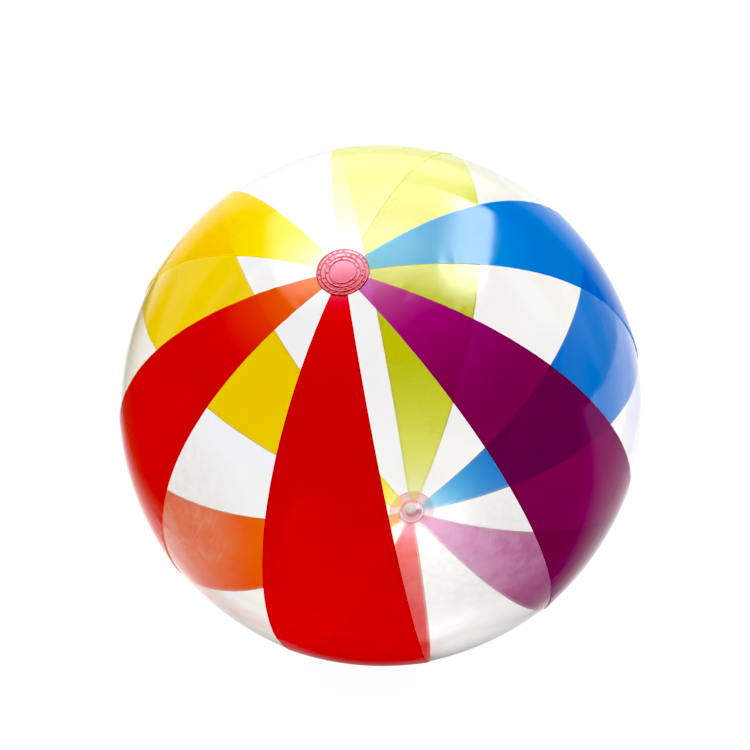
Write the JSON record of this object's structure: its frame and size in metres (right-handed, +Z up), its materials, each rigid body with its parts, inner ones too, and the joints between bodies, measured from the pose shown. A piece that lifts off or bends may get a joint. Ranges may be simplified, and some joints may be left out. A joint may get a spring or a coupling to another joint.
{
  "type": "beach ball",
  "caption": "Inflatable beach ball of alternating tinted and clear vinyl gores, with welded pole discs and a push-in air valve that has a hinged plug.",
  "frame": {"origin": "straight below the ball's centre, on the flattened patch that it lies on", "axes": "+Z up; the polar axis leans 45 degrees from +Z towards -Y, so the plain pole faces up and forwards and the valve pole down and back"},
  "size_m": [0.3956, 0.3938, 0.3932],
  "materials": {
    "red_film": "gloss",
    "orange_film": "gloss",
    "yellow_film": "gloss",
    "lime_film": "gloss",
    "blue_film": "gloss",
    "purple_film": "gloss",
    "clear_film": "gloss",
    "disc_film": "satin",
    "valve_vinyl": "satin",
    "plug_vinyl": "satin"
  },
  "bodies": {
    "ball": {"red_gore": "red_film", "orange_gore": "orange_film", "yellow_gore": "yellow_film", "lime_gore": "lime_film", "blue_gore": "blue_film", "purple_gore": "purple_film", "clear_gore_1": "clear_film", "clear_gore_2": "clear_film", "clear_gore_3": "clear_film", "clear_gore_4": "clear_film", "clear_gore_5": "clear_film", "clear_gore_6": "clear_film", "top_disc": "disc_film", "valve_disc": "disc_film", "valve_flange": "valve_vinyl", "valve_web": "valve_vinyl"},
    "stem": {"valve_stem": "plug_vinyl"},
    "plug": {"plug": "plug_vinyl", "plug_strap": "plug_vinyl"},
    "flap": {"check_flap": "plug_vinyl"}
  },
  "joints": [
    {"name": "valve_slide", "type": "slide", "parent": "ball", "child": "stem", "axis": [0, 0.7071, -0.7071], "range_m": [0, 0.014], "deforming": ["valve_web"]},
    {"name": "plug_hinge", "type": "hinge", "parent": "stem", "child": "plug", "pos_m": [0.008, 0.13382, 0.06233], "axis": [0, -0.7071, -0.7071], "range_deg": [0, 105]},
    {"name": "flap_hinge", "type": "hinge", "parent": "stem", "child": "flap", "pos_m": [-0.0044, 0.1294, 0.06675], "axis": [0, -0.7071, -0.7071], "range_deg": [0, 60], "stiffness_Nm_per_rad": 0.00002}
  ]
}
